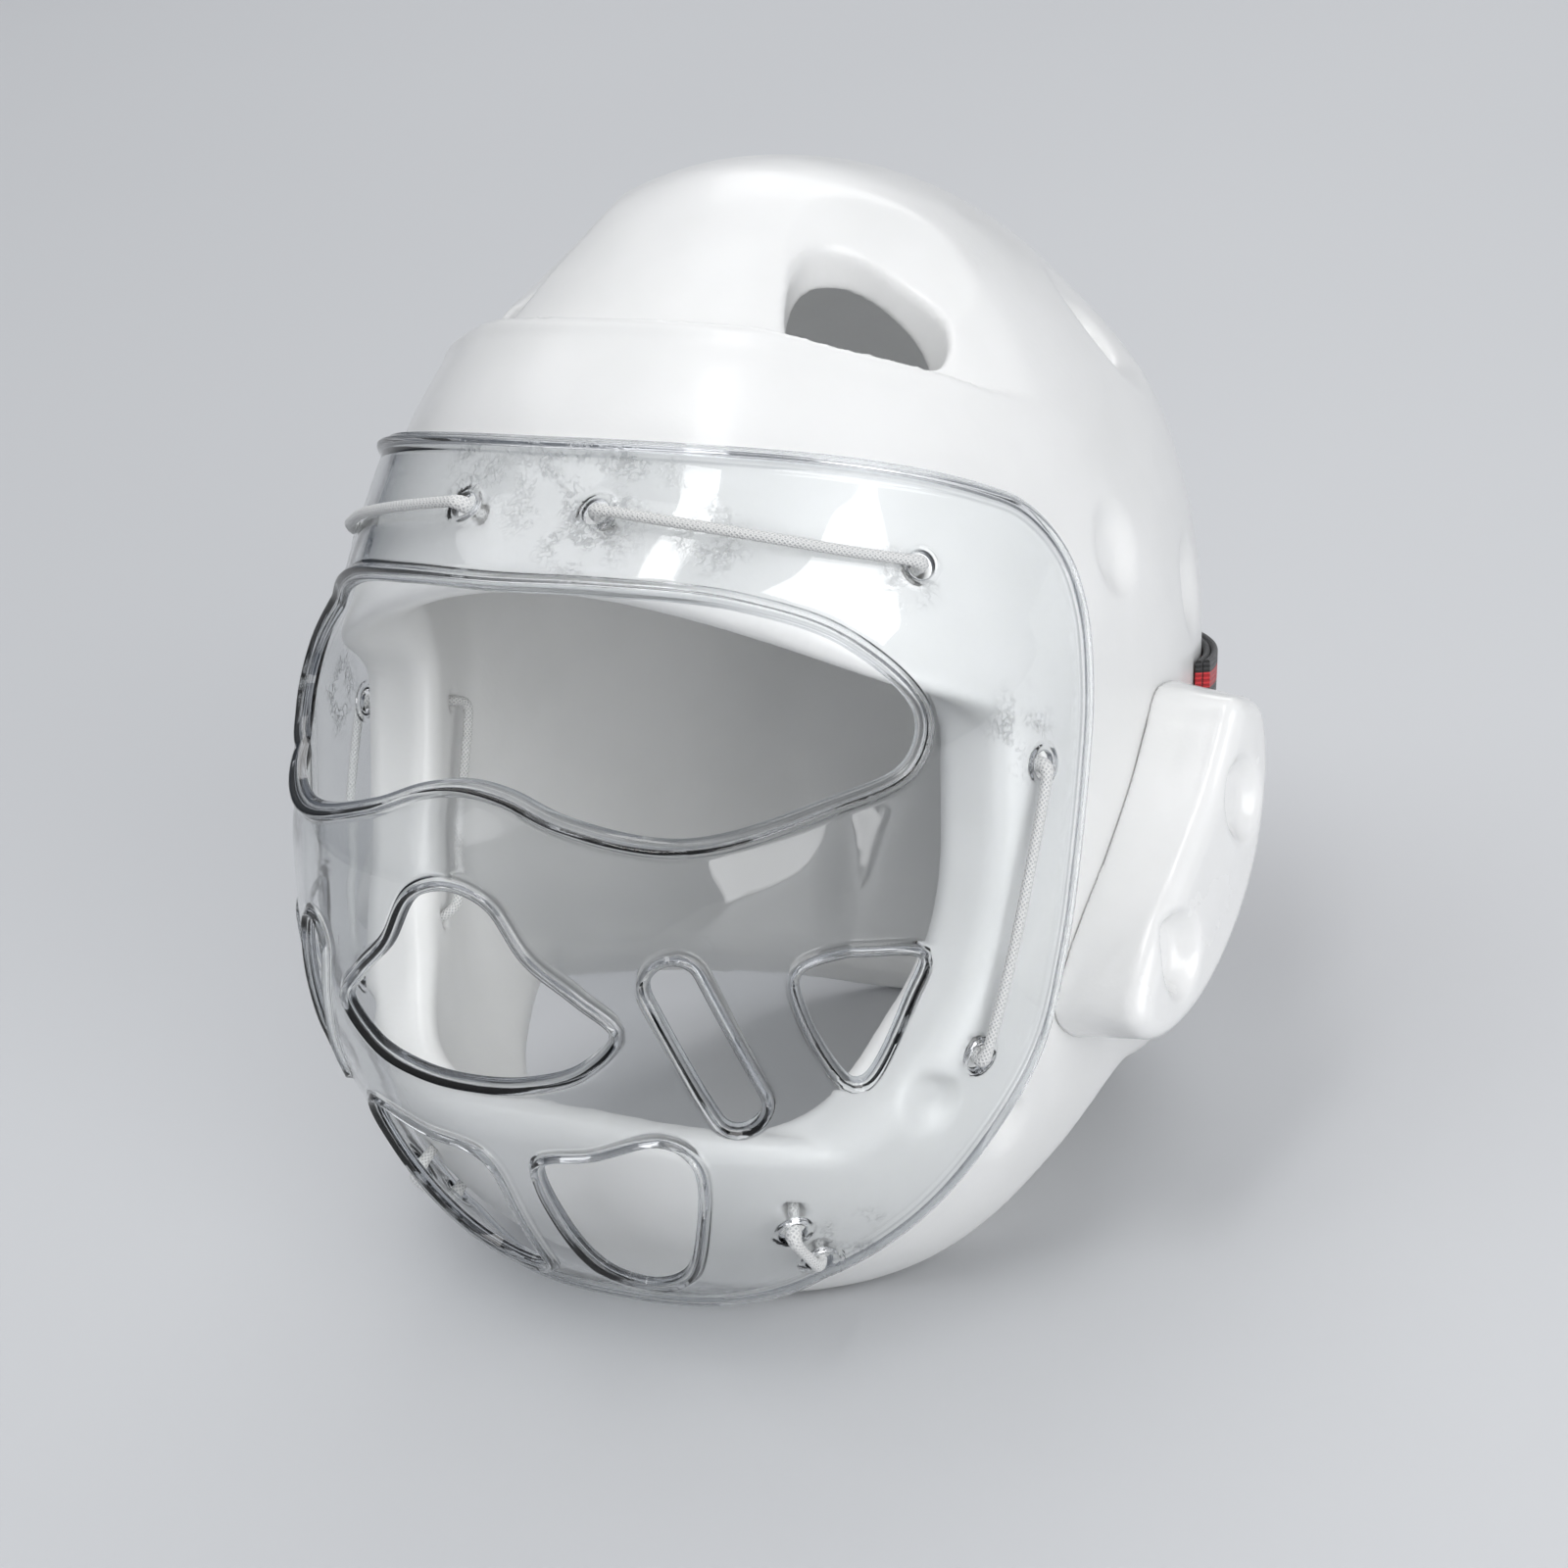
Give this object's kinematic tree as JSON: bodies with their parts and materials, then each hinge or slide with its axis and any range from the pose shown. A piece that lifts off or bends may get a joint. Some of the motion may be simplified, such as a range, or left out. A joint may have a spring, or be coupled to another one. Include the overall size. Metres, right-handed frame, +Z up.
{
  "type": "sparring headgear with face shield",
  "caption": "Moulded foam sparring headgear with glued ear pads and crown vents, a clear laced-on face shield with eye and breathing openings, and an elastic strap at the back.",
  "frame": {"origin": "on the floor, under the middle of the headgear's box", "axes": "+X to the wearer's left, -Y to the wearer's front, +Z up, with the headgear lying on its chin and its nape"},
  "size_m": [0.234, 0.26, 0.2392],
  "materials": {
    "foam": "smooth white vinyl skin dipped over soft moulded foam, glossy",
    "clear_shield": "clear formed polycarbonate sheet, glossy",
    "elastic": "black woven elastic with red stripes, matt",
    "lace": "white round braided cord, matt"
  },
  "bodies": {
    "root": {"headgear_shell": "foam", "ear_pad_left": "foam", "ear_pad_right": "foam", "face_shield": "clear_shield", "rear_strap": "elastic", "strap_overlap": "elastic", "lace_forehead_left": "lace", "lace_forehead_right": "lace", "lace_cheek_left": "lace", "lace_cheek_right": "lace", "lace_chin_left": "lace", "lace_chin_right": "lace"}
  },
  "joints": []
}
